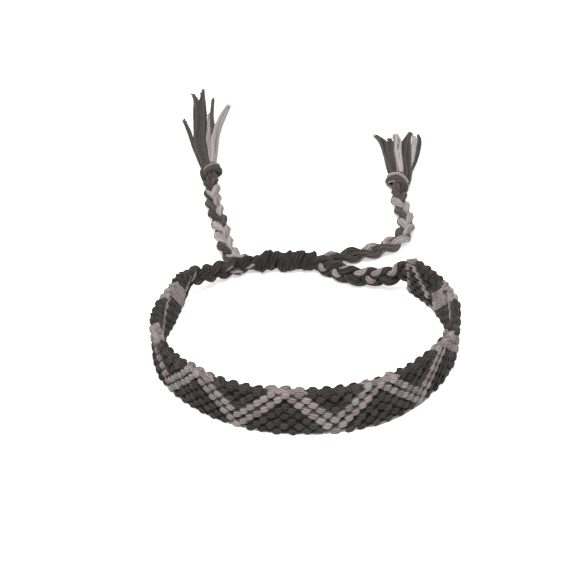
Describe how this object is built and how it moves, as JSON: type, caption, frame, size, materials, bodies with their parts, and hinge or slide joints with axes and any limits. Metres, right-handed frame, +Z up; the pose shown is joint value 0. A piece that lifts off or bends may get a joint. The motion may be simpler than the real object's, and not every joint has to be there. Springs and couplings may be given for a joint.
{
  "type": "friendship bracelet",
  "caption": "Knotted friendship bracelet with a zigzag band, closed to a loop by a sliding knot over braided ties with knotted, fringed tails.",
  "frame": {"origin": "middle of the base of the loop (band, ties and sliding knot), on the surface that the bracelet stands on", "axes": "+Z up, along the height of the band; -Y towards the front of the band, opposite the sliding knot; +X to the right seen from the front"},
  "size_m": [0.077, 0.1885, 0.011],
  "materials": {
    "knotted_yarn": "matte cotton yarn in tight knots, dark charcoal with a pale pinkish-grey zigzag",
    "braided_yarn": "matte braided cotton yarn, charcoal and pale pinkish grey mixed",
    "wrapping_yarn": "matte brown-black cotton yarn, wrapped and knotted",
    "loose_yarn": "matte loose yarn ends, charcoal and pale grey"
  },
  "bodies": {
    "root": {"band": "knotted_yarn", "tie_left": "braided_yarn", "tie_right": "braided_yarn", "sliding_knot": "wrapping_yarn", "tail_left": "braided_yarn", "tail_right": "braided_yarn", "end_knot_left": "braided_yarn", "end_knot_right": "braided_yarn", "fringe_left": "loose_yarn", "fringe_right": "loose_yarn"}
  },
  "joints": []
}
